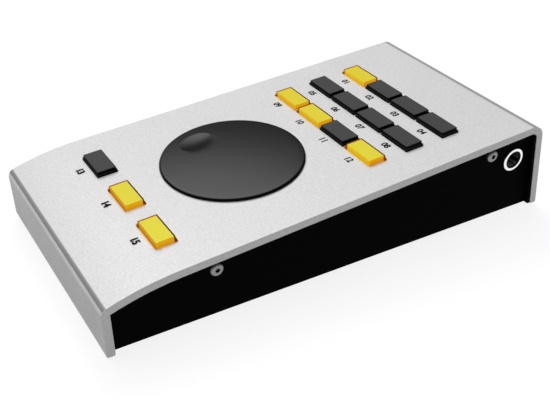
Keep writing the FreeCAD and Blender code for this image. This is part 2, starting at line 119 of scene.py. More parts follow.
# %% [markdown]
# ## Nodes, one call each
# Floor, sky and finishes are all small trees of nodes. Clicking them together can't be repeated, and
# long lists of links are hard to read. So a few short helpers each add one node, feed it and hand
# back what it gives, and a finish then reads like a recipe. Materials and the world both own a tree,
# so the same helpers serve both.

# %% Helpers for trees of nodes
def node_in(owner, kind, **settings):
    """Adds a node to the tree of a material or a world."""
    node = owner.node_tree.nodes.new(kind)
    for key, value in settings.items():
        setattr(node, key, value)
    return node


def feed(owner, source, socket):
    """Gives a socket what another node puts out, or else a plain value."""
    if isinstance(source, bpy.types.NodeSocket):
        owner.node_tree.links.new(source, socket)
    else:
        socket.default_value = source


def sum_of(owner, operation, first, second):
    """What an operation makes of two values."""
    node = node_in(owner, "ShaderNodeMath", operation=operation)
    feed(owner, first, node.inputs[0])
    feed(owner, second, node.inputs[1])
    return node.outputs[0]


print("helpers for nodes ready")

# %% [markdown]
# ## The floor
# The floor looks nearly white, yet a really white floor would throw light up at every upright side
# and flatten them. So its paint is a dark grey, which is what the object's light and shadow fall on,
# and a glow that only the eye can see lifts it to a pale tone. The shadow stays in it.

# %% Floor
floor_half = 6.0
floor_mesh = bpy.data.meshes.new("floor")
floor_mesh.from_pydata([(-floor_half, -floor_half, 0), (floor_half, -floor_half, 0),
                        (floor_half, floor_half, 0), (-floor_half, floor_half, 0)],
                       [], [(0, 1, 2, 3)])
floor = bpy.data.objects.new("floor", floor_mesh)
bpy.context.scene.collection.objects.link(floor)
print("floor", 2 * floor_half, "m wide")

# %% Floor paint
floor_paint = 0.17
floor_lift = 0.86


def grey(tone):
    return (tone, tone, tone)


def to_the_eye(owner):
    """A value that is 1 for what is looked at, whether directly, in a gloss or through glass."""
    rays = node_in(owner, "ShaderNodeLightPath")
    looked_at = sum_of(owner, "MAXIMUM", rays.outputs["Is Camera Ray"], rays.outputs["Is Glossy Ray"])
    return sum_of(owner, "MAXIMUM", looked_at, rays.outputs["Is Transmission Ray"])


floor_white = bpy.data.materials.new("floor_white")
floor_white.use_nodes = True
floor_white.node_tree.nodes.remove(floor_white.node_tree.nodes["Principled BSDF"])
paint = node_in(floor_white, "ShaderNodeBsdfDiffuse")
paint.inputs["Color"].default_value = (*grey(floor_paint), 1)
glow = node_in(floor_white, "ShaderNodeEmission")
glow.inputs["Color"].default_value = (*grey(1.0), 1)
lift = sum_of(floor_white, "MULTIPLY", to_the_eye(floor_white), floor_lift)
feed(floor_white, lift, glow.inputs["Strength"])
both = node_in(floor_white, "ShaderNodeAddShader")
feed(floor_white, paint.outputs[0], both.inputs[0])
feed(floor_white, glow.outputs[0], both.inputs[1])
feed(floor_white, both.outputs[0], floor_white.node_tree.nodes["Material Output"].inputs["Surface"])
floor_mesh.materials.append(floor_white)
print("floor's paint", floor_paint, "and lift", floor_lift)

# %% [markdown]
# ## The sky
# A product picture is lit softly from above, with the light falling off towards the horizon, so
# that upright faces look darker than level ones. A dome of light does that with no hard shadow: a
# ramp runs over the angle from its brightest place, a little to the left of overhead. Three more
# helpers are needed for that: one for the angle, one to move a value onto another span, and the ramp.

# %% Directions, spans and ramps
def along(owner, vector, direction):
    """How far a vector reaches along a direction."""
    reach = node_in(owner, "ShaderNodeVectorMath", operation="DOT_PRODUCT")
    feed(owner, vector, reach.inputs[0])
    reach.inputs[1].default_value = direction
    return reach.outputs["Value"]


def spread(owner, value, low, high, start=0.3, end=0.7):
    """Takes a value from the span start to end onto the span low to high."""
    change = node_in(owner, "ShaderNodeMapRange")
    for socket, number in zip(("From Min", "From Max", "To Min", "To Max"), (start, end, low, high)):
        change.inputs[socket].default_value = number
    feed(owner, value, change.inputs["Value"])
    return change.outputs["Result"]


def ramp(owner, value, stops, interpolation="LINEAR"):
    """A colour for each value. Each stop is a position and the colour there."""
    blend = node_in(owner, "ShaderNodeValToRGB")
    blend.color_ramp.interpolation = interpolation
    elements = blend.color_ramp.elements
    elements.remove(elements[1])
    elements[0].position = stops[0][0]
    for index, (position, colour) in enumerate(stops):
        stop = elements.new(position) if index else elements[0]
        stop.color = (*colour, 1)
    feed(owner, value, blend.inputs["Fac"])
    return blend.outputs["Color"]


print("helpers for ramps ready")

# %% Sky
sky_top = Vector((-0.4, -0.04, 0.9)).normalized()
sky_strength = 2.6
sky_steps = ((0.0, 0.01), (0.6, 0.02), (0.72, 0.05), (0.78, 0.15),
             (0.82, 0.35), (0.86, 0.6), (0.92, 0.9), (1.0, 1.0))
studio = bpy.data.worlds.new("studio")
studio.use_nodes = True
bpy.context.scene.world = studio
looked_towards = node_in(studio, "ShaderNodeTexCoord").outputs["Generated"]
dome = studio.node_tree.nodes["Background"]
dome.inputs["Strength"].default_value = sky_strength
from_top = along(studio, looked_towards, sky_top)
sky_ramp = ramp(studio, from_top, [(position, grey(tone)) for position, tone in sky_steps])
feed(studio, sky_ramp, dome.inputs["Color"])
print("sky of", len(sky_steps), "steps, brightest at", short(sky_top, 2))

# %% [markdown]
# The dome is dark near the horizon, and a low view would show that as a band above the floor. A wall
# behind the object would hide it, but would also take its place in the light. So what the eye sees
# of the lowest few degrees is plain white instead, while the object is still lit by the dome alone.

# %% White at the horizon
white_below = 0.05
sky_above = 0.08
backdrop = node_in(studio, "ShaderNodeBackground")
backdrop.inputs["Color"].default_value = (*grey(1.0), 1)
backdrop.inputs["Strength"].default_value = 1.0
low_down = spread(studio, along(studio, looked_towards, (0, 0, 1)), 0.0, 1.0, sky_above, white_below)
either = node_in(studio, "ShaderNodeMixShader")
feed(studio, sum_of(studio, "MULTIPLY", to_the_eye(studio), low_down), either.inputs["Fac"])
feed(studio, dome.outputs[0], either.inputs[1])
feed(studio, backdrop.outputs[0], either.inputs[2])
feed(studio, either.outputs[0], studio.node_tree.nodes["World Output"].inputs["Surface"])
print("white up to", round(math.degrees(math.asin(sky_above)), 1), "degrees")

# %% [markdown]
# ## Two lamps
# The dome alone leaves the object floating. One soft lamp above the left gives the shadow a
# direction, and a low one on the right brightens the front leg and the sides of the keys. Neither
# may be mirrored, since a square lamp in the dial's gloss would give the studio away.

# %% Lamps
lamps = (("top_lamp", (-0.45, 0.1, 0.62), (0, -0.02, 0), 0.3, 2.0),
         ("side_lamp", (0.6, -0.03, 0.1), (0, -0.03, 0.03), 0.3, 0.9))
for name, place, target, width, watts in lamps:
    data = bpy.data.lights.new(name, "AREA")
    data.size = width
    data.energy = watts
    lamp = bpy.data.objects.new(name, data)
    bpy.context.scene.collection.objects.link(lamp)
    lamp.location = place
    lamp.rotation_euler = (Vector(target) - Vector(place)).to_track_quat("-Z", "Y").to_euler()
    lamp.visible_glossy = False
    print(name, watts, "W")
bpy.context.scene.view_settings.view_transform = "Standard"

# %% [markdown]
# ## A way to write finishes
# No real surface is one flat colour. Each finish below starts from one Principled shader, whose
# plain values are set on its own sockets, and adds fine noise that changes its colour, its
# roughness and its bump. The noise is read in the object's own metres, so a grain of 0.4 mm is
# 0.4 mm on every piece, and it stays put when the camera moves.

# %% Helpers for finishes
def dress(material, **sockets):
    """Sets sockets of a material's shader, by name, to plain values or to what nodes put out."""
    shader = material.node_tree.nodes["Principled BSDF"]
    for socket, source in sockets.items():
        feed(material, source, shader.inputs[socket.replace("_", " ")])


def finish(name, colour, **sockets):
    """A new material with one Principled shader."""
    material = bpy.data.materials.new(name)
    material.use_nodes = True
    dress(material, Base_Color=(*colour, 1), **sockets)
    return material


def own_place(material):
    """Where a point lies in the piece's own space, in metres."""
    return node_in(material, "ShaderNodeTexCoord").outputs["Object"]


def grain(material, size, detail=2.0, stretch=(1, 1, 1)):
    """Noise from 0 to 1 whose spots are about size metres across."""
    scale = node_in(material, "ShaderNodeMapping")
    scale.inputs["Scale"].default_value = [s / size for s in stretch]
    feed(material, own_place(material), scale.inputs["Vector"])
    noise = node_in(material, "ShaderNodeTexNoise")
    noise.inputs["Scale"].default_value = 1.0
    noise.inputs["Detail"].default_value = detail
    feed(material, scale.outputs["Vector"], noise.inputs["Vector"])
    return noise.outputs["Fac"]


def bump(material, value, depth):
    """Raises the surface by up to depth metres where the value is high."""
    relief = node_in(material, "ShaderNodeBump")
    relief.inputs["Strength"].default_value = 1.0
    relief.inputs["Distance"].default_value = depth
    feed(material, value, relief.inputs["Height"])
    dress(material, Normal=relief.outputs["Normal"])


def wear(names, material):
    """Gives the named solids this material in place of their own."""
    for name in names:
        nodes[name].data.materials.clear()
        nodes[name].data.materials.append(material)


print("helpers for finishes ready")

# %% [markdown]
# ## The bent plate
# The plate is aluminium, blasted with fine beads and then anodised. Blasting leaves a close, even
# grain that scatters light, so the metal looks pale and soft with no mirror-like streaks. A mostly
# matt shader with fine noise in its tone and its bump does that. The sharp edges are painted a shade
# paler, a painted highlight. Where the plate starts to bend, the real one shows a dark band, and a
# paler one below; here they are a painted shade and a painted highlight. Both follow the way the
# metal faces, so a ramp over that angle draws them.

# %% Painted highlight on edges
def outward(material, kind="Normal"):
    """The direction in which the surface faces."""
    return node_in(material, "ShaderNodeNewGeometry").outputs[kind]


def edge_light_mask(material, radius):
    """A value that is high along the sharp edges of a solid, where a normal that is rounded over
    the radius turns away from the face's own. On a flat face the two agree and it is 0."""
    softened = node_in(material, "ShaderNodeBevel", samples=4)
    softened.inputs["Radius"].default_value = radius
    straight = node_in(material, "ShaderNodeVectorMath", operation="DOT_PRODUCT")
    feed(material, softened.outputs["Normal"], straight.inputs[0])
    feed(material, outward(material), straight.inputs[1])
    return spread(material, straight.outputs["Value"], 1.0, 0.0, 0.8, 0.99)


def mix(material, share, first, second, kind="MIX"):
    """Blends two colours by a share. Each is what a node puts out, or a plain colour."""
    node = node_in(material, "ShaderNodeMix", data_type="RGBA", blend_type=kind)
    feed(material, share, node.inputs["Factor"])
    feed(material, first, node.inputs["A"])
    feed(material, second, node.inputs["B"])
    return node.outputs["Result"]


print("helpers for edges ready")

# %% Anodised aluminium
bend_lean = plate_slope + math.radians(7)
bend_axis = (0, -math.sin(bend_lean), math.cos(bend_lean))
# Tones of painted light by the way the metal faces: a painted shade band where a bend starts, and a
# painted highlight below it.
bend_light_and_shade = ((0.0, 0.8), (0.3, 0.8),                   # upright faces
              (0.42, 1.0), (0.7, 1.0),                  # the lower part of a bend
              (0.76, 0.6), (0.81, 0.4), (0.965, 0.4),   # the band where it starts
              (0.985, 0.8))                             # the sloping plate itself
anodised = finish("anodised_shell", (0.74, 0.74, 0.745), Metallic=0.2, Specular_IOR_Level=0.1)
blasted = grain(anodised, 0.8 * mm, 6.0)
cloud = grain(anodised, 14 * mm)
beads = ramp(anodised, blasted, ((0.25, (0.8, 0.8, 0.802)), (0.75, grey(1.0))))
# The sharp edges are painted paler: a painted highlight.
edges_painted_light = mix(anodised, edge_light_mask(anodised, 0.4 * mm), beads, (*grey(1.0), 1))
facing = spread(anodised, along(anodised, outward(anodised), bend_axis), 0.0, 1.0, -0.1, 1.0)
bend = ramp(anodised, facing, [(position, grey(tone)) for position, tone in bend_light_and_shade])
dress(anodised, Base_Color=mix(anodised, 1.0, edges_painted_light, bend, "MULTIPLY"),
      Roughness=spread(anodised, cloud, 0.32, 0.38))
bump(anodised, blasted, 0.03 * mm)
wear(["top_shell"], anodised)
print("anodised:", len(anodised.node_tree.nodes), "nodes")

# %% [markdown]
# ## The steel tray
# The tray is folded steel with a matte black coat. On such a dark surface the only thing to see is
# how it handles light at a glancing angle, so the coat is rough, with a barely lighter speckle. Many
# pieces below want the same recipe with other numbers, so it is written once, as a helper.

# %% Speckled finishes, and black coated steel
def speckled(name, dark, light, rough, size, relief, detail=3.0, stretch=(1, 1, 1), **sockets):
    """A finish whose noise runs between two colours and two roughnesses, with a relief in metres."""
    material = finish(name, light, **sockets)
    spots = grain(material, size, detail, stretch)
    dress(material, Base_Color=ramp(material, spots, ((0.3, dark), (0.7, light))),
          Roughness=spread(material, spots, *rough))
    bump(material, spots, relief)
    return material


coated = speckled("black_steel", grey(0.0006), grey(0.002), (0.75, 0.9), 0.5 * mm, 0.01 * mm,
                  Specular_IOR_Level=0.03)
wear(["base_tray"], coated)
print("black steel:", len(coated.node_tree.nodes), "nodes")

# %% [markdown]
# ## Meshes made of rings
# Key caps, the dial and the socket's springs are all closed skins stretched over a stack of
# outlines. One helper that joins rings of points, whatever their shape, serves for all of them, and
# every small round-over is just a few more rings.

# %% Rings, and pieces made of them
def skin_of_rings(name, rings, crease=60):
    """A closed mesh through rings of points in millimetres, all with as many points. Edges that
    turn by more than crease degrees stay sharp in the shading."""
    mesh = bmesh.new()
    loops = [[mesh.verts.new(Vector(point) * mm) for point in ring] for ring in rings]
    for inner, outer in zip(loops, loops[1:]):
        for k in range(len(inner)):
            after = (k + 1) % len(inner)
            mesh.faces.new((inner[k], outer[k], outer[after], inner[after]))
    mesh.faces.new(loops[0])
    mesh.faces.new(loops[-1])
    bmesh.ops.recalc_face_normals(mesh, faces=mesh.faces)
    for face in mesh.faces:
        face.smooth = True
    for edge in mesh.edges:
        edge.smooth = edge.calc_face_angle(0) < math.radians(crease)
    data = bpy.data.meshes.new(name)
    mesh.to_mesh(data)
    mesh.free()
    return data


def add_piece(name, data, body, material, matrix=Matrix.Identity(4)):
    """Puts a mesh in the scene at a place, with its finish, riding on a body."""
    piece = bpy.data.objects.new(name, data)
    bpy.context.scene.collection.objects.link(piece)
    data.transform(matrix)
    data.materials.clear()
    data.materials.append(material)
    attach(piece, body)
    return piece


def circle(radius, count=160):
    turns = [2 * math.pi * k / count for k in range(count)]
    return [(radius * math.cos(turn), radius * math.sin(turn)) for turn in turns]


def rounded(width, depth, corner, steps=4):
    """The outline of a rectangle with round corners, in millimetres."""
    points = []
    for quarter in range(4):
        cx = (width / 2 - corner) * (1 if quarter in (0, 3) else -1)
        cy = (depth / 2 - corner) * (1 if quarter in (0, 1) else -1)
        for step in range(steps + 1):
            turn = math.pi / 2 * (quarter + step / steps)
            points.append((cx + corner * math.cos(turn), cy + corner * math.sin(turn)))
    return points


def level(outline, height):
    return [(x, y, height) for x, y in outline]


print("a rounded outline has", len(rounded(10, 5, 1)), "points")

# %% [markdown]
# ## The keys
# A key is a stepped cap: a skirt that slides in the plate's opening, and a smaller top with a fine
# chamfer. Below the metal it has a lip at the front and at the rear that keeps it in. The cap is
# hollow, and a core sits in it. The cavity is drawn a hair smaller than the core, so that the core's
# faces lie in the cap's material with no film of air between them, as in a part moulded in two shots.
# With air there, the clear caps would show black lines where light is turned back inside them.

# %% Key cap mesh
key_width = 18.4
key_depth = 9.4
step_side = 0.6
step_front = 0.4
skirt_rise = 0.9
key_rise = 2.3
chamfer = 0.15
skirt_bottom = -4.35
lip_top = -3.65
lip_reach = 0.7
core_width = 16.1
core_depth = 7.5
core_top = 1.85
overlap = 0.05
corner = 0.3
skirt_ease = 0.08
fillet = 0.05
crest_ease = 0.04
crest_drop = 0.015


def cap_rings():
    """Outlines of the cap: the cavity's roof and wall, the lips, the skirt, the step and the top."""
    top_width = key_width - 2 * step_side
    top_depth = key_depth - 2 * step_front
    crest_width = top_width - 2 * chamfer
    crest_depth = top_depth - 2 * chamfer
    cavity = rounded(core_width - 2 * overlap, core_depth - 2 * overlap, 0.1)
    lips = rounded(key_width, key_depth + 2 * lip_reach, corner)
    skirt = rounded(key_width, key_depth, corner)
    eased = rounded(key_width - 2 * skirt_ease, key_depth - 2 * skirt_ease, 0.25)
    foot = rounded(top_width + 2 * fillet, top_depth + 2 * fillet, corner)
    upper = rounded(top_width, top_depth, corner)
    crest = rounded(crest_width, crest_depth, 0.25)
    crest_in = rounded(crest_width - 2 * crest_ease, crest_depth - 2 * crest_ease, 0.22)
    return [level(cavity, core_top - overlap), level(cavity, skirt_bottom),
            level(lips, skirt_bottom), level(lips, lip_top),
            level(skirt, lip_top), level(skirt, skirt_rise - skirt_ease),
            level(eased, skirt_rise), level(foot, skirt_rise),
            level(upper, skirt_rise + fillet), level(upper, key_rise - chamfer),
            level(crest, key_rise - crest_drop), level(crest_in, key_rise)]


cap_mesh = skin_of_rings("key_cap", cap_rings(), crease=15)
print("cap:", len(cap_mesh.polygons), "faces")

# %% [markdown]
# Fifteen keys share that one mesh. The lit ones need a clear amber and the others a black, and a
# mesh carries its materials with it, so there are two copies of the mesh and each key points to one.

# %% Place the fifteen keys
lit_keys = (1, 9, 10, 12, 14, 15)
rear_rows = (47.0, 67.0, 87.0)
front_row = 187.0955
key_pitch = 19.6
front_pitch = key_pitch * 1.5
places = [((column - 1.5) * key_pitch, down) for down in rear_rows for column in range(4)]
places += [((column - 1) * front_pitch, front_row) for column in range(3)]
key_spots = {number: place for number, place in enumerate(places, start=1)}

dark_mesh = cap_mesh.copy()
for number, (across, down) in key_spots.items():
    lit = number in lit_keys
    cap = bpy.data.objects.new(f"key_top_{number:02d}", cap_mesh if lit else dark_mesh)
    bpy.context.scene.collection.objects.link(cap)
    cap.matrix_world = on_plate(across, down)
    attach(cap, f"key_{number:02d}")
    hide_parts(f"key_cap_{number:02d}")
print(len(key_spots), "keys,", len(lit_keys), "of them lit")

# %% [markdown]
# ## Black keys
# The top of a black key is painted paler and smoother than its sides, a painted highlight, and the
# sides are painted darker, a painted shade. The height above the plate, in the key's own space, tells
# the shader which is which. It would be possible to give each face its own material, but then the
# change would be a hard line. The little ledge round the skirt gets a painted highlight too, in a
# band that peaks halfway up its eased edge.

# %% Black key finish
def between(material, low, high, direction=(0, 0, 1)):
    """A value that goes from 0 to 1 between two heights in the piece's own space, or between two
    places along another direction, in millimetres."""
    reach = along(material, own_place(material), direction)
    return spread(material, reach, 0.0, 1.0, low * mm, high * mm)


black_cap = finish("key_black_cap", grey(0.03))
rub = grain(black_cap, 0.3 * mm, 3.0)
# Painted highlight on the top, painted shade on the sides, and a painted highlight on the ledge.
painted_top_light = between(black_cap, key_rise - chamfer, key_rise - 0.05)
ledge_highlight = between(black_cap, skirt_rise - skirt_ease, skirt_rise + 0.02)
band = sum_of(black_cap, "PINGPONG", ledge_highlight, 0.5)
painted_side_shade_with_lit_ledge = ramp(black_cap, band, ((0.0, grey(0.005)), (0.5, grey(0.05))))
dress(black_cap, Base_Color=mix(black_cap, painted_top_light, painted_side_shade_with_lit_ledge, (0.05, 0.05, 0.051, 1)),
      Roughness=spread(black_cap, rub, 0.42, 0.58),
      Specular_IOR_Level=spread(black_cap, painted_top_light, 0.04, 0.2, 0.0, 1.0))
bump(black_cap, rub, 0.004 * mm)
dark_mesh.materials.append(black_cap)
print("black keys:", len(black_cap.node_tree.nodes), "nodes")

# %% [markdown]
# ## Lit keys
# The amber is coloured in its depth, like real tinted plastic: light that goes through more of it
# comes out redder and darker. Painting the surface instead would give every face one colour. The
# skirt has a faint painted glow, for the light that leaks down into it, and the top's far rims are
# painted browner, a painted shade for where the eye looks through clear plastic with no lit core
# behind it.

# %% Amber cap
amber = (1.0, 0.7, 0.2)
rim_shade_brown = (0.3, 0.1, 0.08)
# The emission colour is a faint painted glow.
amber_cap = finish("key_amber_cap", amber, IOR=1.1, Transmission_Weight=0.95,
                   Emission_Color=(0.9, 0.2, 0.03, 1))
tint = node_in(amber_cap, "ShaderNodeVolumeAbsorption")
tint.inputs["Color"].default_value = (0.8, 0.45, 0.04, 1)
tint.inputs["Density"].default_value = 2000.0
feed(amber_cap, tint.outputs["Volume"],
     amber_cap.node_tree.nodes["Material Output"].inputs["Volume"])

# The painted shade of the rims lies close to where the core ends, 8.05 mm to the left and 3.75 mm to
# the rear.
left_rim = between(amber_cap, 7.7, 7.85, (-1, 0, 0))
rear_rim = between(amber_cap, 3.6, 3.75, (0, 1, 0))
far_rim_shade = sum_of(amber_cap, "MAXIMUM", left_rim, rear_rim)
near_top = between(amber_cap, key_rise - chamfer - 0.1, key_rise - chamfer)
rim = sum_of(amber_cap, "MULTIPLY", far_rim_shade, near_top)
skirt_glow_fade = between(amber_cap, skirt_rise - 0.1, skirt_rise + 0.1)
moulded = grain(amber_cap, 0.5 * mm, 3.0)
# Painted shade on the far rims, and the painted glow, stronger in the skirt.
dress(amber_cap, Base_Color=mix(amber_cap, rim, (*amber, 1), (*rim_shade_brown, 1)),
      Roughness=spread(amber_cap, moulded, 0.03, 0.09),
      Emission_Strength=spread(amber_cap, skirt_glow_fade, 0.1, 0.03, 0.0, 1.0))
bump(amber_cap, moulded, 0.003 * mm)
cap_mesh.materials.append(amber_cap)
print("amber:", len(amber_cap.node_tree.nodes), "nodes")

# %% [markdown]
# The core behind the amber gives off the light. Its lamps sit at the front and the right, so each of
# its five faces glows differently, from yellow on top to a dull brown at the rear. One lamp for each
# face would be slow to render, so the core's own surface glows, and the direction a face looks in
# picks its colour from a stepped ramp. Below the metal the glow is stronger, as more amber hides it.

# %% Glowing core
lamp_side = (0.45, -0.75, 1.5)
glow_steps = ((0.0, (0.12, 0.07, 0.01)),      # rear
              (0.16, (0.1, 0.08, 0.01)),      # left
              (0.4, (0.45, 0.43, 0.006)),     # right
              (0.64, (0.52, 0.76, 0.03)),     # front
              (0.85, (0.435, 0.83, 0.19)))    # top
in_skirt_gain = (1.15, 1.8, 1.0, 1)
lit_core = finish("key_lit_core", (0.05, 0.03, 0.005), Emission_Strength=2.0)
side = spread(lit_core, along(lit_core, outward(lit_core, "True Normal"), lamp_side),
              0.0, 1.0, -1.0, 1.5)
face_glow = ramp(lit_core, side, glow_steps, "CONSTANT")
metal_level = plate_normal.dot(plate_rear_edge)
in_skirt = spread(lit_core, along(lit_core, own_place(lit_core), plate_normal), 1.0, 0.0,
                  metal_level, metal_level + 0.3 * mm)
diffuser = grain(lit_core, 0.4 * mm)
dress(lit_core, Roughness=spread(lit_core, diffuser, 0.5, 0.75),
      Emission_Color=mix(lit_core, in_skirt, face_glow, in_skirt_gain, "MULTIPLY"))
bump(lit_core, diffuser, 0.005 * mm)
dark_core = speckled("key_dark_core", grey(0.012), grey(0.03), (0.5, 0.7), 0.4 * mm, 0.005 * mm)
for number in key_spots:
    wear([f"key_core_{number:02d}"], lit_core if number in lit_keys else dark_core)
print("cores:", len(lit_core.node_tree.nodes), "nodes in the lit ones")

# %% [markdown]
# ## The dial
# The dial is a broad disc, barely domed, with a shallow dish for a fingertip near its edge. Turning
# a profile on an axis gives the disc, but the dish isn't round that axis, and cutting it out
# afterwards leaves ragged edges. So one formula gives the height of every point of the upper face:
# the lower of the crown and a squeezed ball, blended where they meet.

# %% The dial's measures and its upper face
dial_place = 136.9478
dial_radius = 32.1
crown_rise = 2.6
rim_rise = 1.35
shoulder_round = 1.1
dish_distance = 22.05
dish_angle = math.radians(202.25)
dish_length = 8.9
dish_squeeze = 6.1 / dish_length
dish_depth = 0.7
dish_blend = 0.05
dish_influence = 1.4 * dish_length
crown_fall = crown_rise - rim_rise
crown_radius = (dial_radius ** 2 + crown_fall ** 2) / (2 * crown_fall)
dish_ball = (dish_length ** 2 + dish_depth ** 2) / (2 * dish_depth)
dish_x = dish_distance * math.cos(dish_angle)
dish_y = dish_distance * math.sin(dish_angle)


def crown_height(distance):
    return crown_rise - crown_radius + math.sqrt(crown_radius ** 2 - distance ** 2)


def dial_height(x, y):
    """The height of the dial's upper face, with the dish sunk into the crown."""
    crown = crown_height(math.hypot(x, y))
    outwards = (x - dish_x) * math.cos(dish_angle) + (y - dish_y) * math.sin(dish_angle)
    sideways = (y - dish_y) * math.cos(dish_angle) - (x - dish_x) * math.sin(dish_angle)
    reach = math.hypot(outwards / dish_squeeze, sideways)
    if reach > dish_influence:
        return crown
    dish_floor = crown_height(dish_distance) - dish_depth
    ball = dish_floor + dish_ball - math.sqrt(dish_ball ** 2 - reach ** 2)
    share = min(1.0, max(0.0, 0.5 + 0.5 * (ball - crown) / dish_blend))
    return ball + (crown - ball) * share - dish_blend * share * (1 - share)


print("crown's radius", round(crown_radius, 1), "mm, dish's ball", round(dish_ball, 1), "mm")

# %% [markdown]
# The mesh is built of nested rings. The first ones are centred on the dish and have its oval shape,
# and each later ring moves and widens a little until it is the dial's rim. The rings crowd together
# at the dish's edge, where the surface turns fastest. After the rounded shoulder they go on below,
# over a shallow hollow, a boss and the recess for the insert that grips the shaft.

# %% Dial mesh
dish_reaches = (0.4, 1.8, 3.2, 4.6, 5.9, 7.0, 7.8, 8.2, 8.45, 8.65, 8.8, 8.95, 9.1, 9.3, 9.6)
widening_steps = 14
shoulder_steps = 7
underside = ((32.05, 0.22), (31.95, 0.2), (29.8, 0.2), (29.7, 0.25), (29.7, 0.45), (29.6, 0.5),
             (10.5, 0.5), (10.4, 0.45), (10.4, 0.25), (10.3, 0.2),
             (8.1, 0.2), (8.05, 0.25), (8.05, 1.6), (1.0, 1.6))


def oval(reach, squeeze=1, centre=(0, 0)):
    """A ring squeezed in the direction that leads away from the dial's centre."""
    points = []
    for outwards, sideways in circle(reach):
        outwards *= squeeze
        points.append((centre[0] + outwards * math.cos(dish_angle) - sideways * math.sin(dish_angle),
                       centre[1] + outwards * math.sin(dish_angle) + sideways * math.cos(dish_angle)))
    return points


def on_crown(outline):
    return [(x, y, dial_height(x, y)) for x, y in outline]


shoulder_centre = dial_radius - shoulder_round
lean = math.asin(shoulder_centre / (crown_radius - shoulder_round))
last_flat = shoulder_centre + shoulder_round * math.sin(lean)
shoulder_height = (crown_rise - crown_radius
                   + math.sqrt((crown_radius - shoulder_round) ** 2 - shoulder_centre ** 2))
rings = [on_crown(oval(reach, dish_squeeze, (dish_x, dish_y))) for reach in dish_reaches]
for step in range(1, widening_steps + 1):
    share = step / widening_steps
    centre = (dish_x * (1 - share), dish_y * (1 - share))
    reach = dish_reaches[-1] + (last_flat - dish_reaches[-1]) * share
    rings.append(on_crown(oval(reach, dish_squeeze + (1 - dish_squeeze) * share, centre)))
for step in range(1, shoulder_steps + 1):
    turn = lean + (math.pi / 2 - lean) * step / shoulder_steps
    rings.append(level(oval(shoulder_centre + shoulder_round * math.sin(turn)),
                       shoulder_height + shoulder_round * math.cos(turn)))
for reach, rise in underside:
    rings.append(level(oval(reach), rise))
print("dial:", len(rings), "rings")

# %% [markdown]
# The real dial has a thin rubbery coat. It is nearly black, so what the eye sees is a blurred picture
# of the sky, and its gloss and roughness matter far more than its colour. The gloss drops where the
# surface tilts, so that the dish and the rim don't flash white. The grain is kept so fine and low
# that it only takes the edge off that reflection.

# %% Soft-touch coat
soft_touch = finish("dial_soft_touch", grey(0.004))
tilt = along(soft_touch, outward(soft_touch), plate_normal)
fine = grain(soft_touch, 0.25 * mm, 3.0)
dress(soft_touch, Base_Color=ramp(soft_touch, fine, ((0.3, grey(0.003)), (0.7, grey(0.006)))),
      Roughness=spread(soft_touch, fine, 0.2, 0.25),
      Specular_IOR_Level=spread(soft_touch, tilt, 0.03, 0.44, 0.6, 0.95))
bump(soft_touch, fine, 0.0006 * mm)
dial_knob = add_piece("dial_knob", skin_of_rings("dial_knob", rings), "dial", soft_touch,
                      on_plate(0, dial_place))
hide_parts("dial")
wear(["dial"], soft_touch)
print("dial:", len(dial_knob.data.polygons), "faces")

# %% [markdown]
# ## The socket
# The socket's ring is plated and polished, so it mirrors the bright room, with only a trace of fine
# scratches. Round the bore is a black moulding, and the contacts are plated spring metal. The parts
# inside the case that are made of the same stuff take the same two finishes.

# %% Ring, mouldings and contacts
chrome = speckled("chrome_ring", grey(0.86), grey(0.93), (0.08, 0.14), 0.3 * mm, 0.0005 * mm,
                  stretch=(1, 1, 4), Metallic=1.0)
wear(["jack_ring"], chrome)
moulding = speckled("black_plastic", grey(0.002), grey(0.005), (0.5, 0.7), 0.3 * mm, 0.004 * mm,
                    Specular_IOR_Level=0.06)
wear(["jack_body", "usb_insert", "switch_bodies", "controller_chip", "encoder_body"], moulding)
contact = speckled("contact_metal", (0.62, 0.6, 0.55), (0.8, 0.78, 0.72), (0.3, 0.45), 0.4 * mm,
                   0.003 * mm, stretch=(0.3, 1, 1), Metallic=0.5)
wear(["jack_contacts", "usb_contacts", "usb_shell", "switch_tabs", "encoder_bushing",
      "encoder_shaft", "board_standoffs", "dial_hub"], contact)
print("socket: ring, moulding and contacts dressed")

# %% [markdown]
# A plug is held by thin springs along the socket's bore. From outside they are only pale lines in the
# dark, but without them the socket is an empty hole. Each is a narrow strip, bowed a little inwards.

# %% Springs in the socket
spring_angles = (34, 6, -44, -56, -79)
spring_length = 7.0
spring_width = 0.3
spring_thickness = 0.15
spring_inset = 0.5
spring_steps = 8
bore_radius = 3.2
bow = 0.35
ring_low, ring_high = (Vector(point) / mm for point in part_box("jack_ring"))
socket_axis = (ring_low + ring_high) / 2
for index, angle in enumerate(spring_angles + tuple(180 - a for a in spring_angles)):
    away = Vector((0, math.cos(math.radians(angle)), math.sin(math.radians(angle))))
    across = Vector((0, -away.z, away.y)) * spring_width / 2
    stations = []
    for step in range(spring_steps + 1):
        reach = bore_radius - bow * math.sin(math.pi * step / spring_steps)
        middle = Vector((ring_high.x - spring_inset - spring_length * step / spring_steps,
                         socket_axis.y, socket_axis.z))
        inner = middle + away * (reach - spring_thickness)
        outer = middle + away * reach
        stations.append([inner - across, inner + across, outer + across, outer - across])
    spring = add_piece(f"socket_spring_{index + 1:02d}",
                       skin_of_rings("socket_spring", stations), "root", contact)
print(2 * len(spring_angles), "springs in the socket")

# %% [markdown]
# ## Screws
# Screws are plain steel, duller than the ring, with painted shade in the recess where no light comes.
# That shade could be modelled with ever deeper holes, but a shader that asks how open the air is
# paints it, and does it better.

# %% Screw steel
def recess_shade(material, reach):
    """A value that is low in recesses and narrow gaps, where little light comes, for painting shade
    there.
    """
    open_air = node_in(material, "ShaderNodeAmbientOcclusion", samples=6)
    open_air.inputs["Distance"].default_value = reach
    return open_air.outputs["AO"]


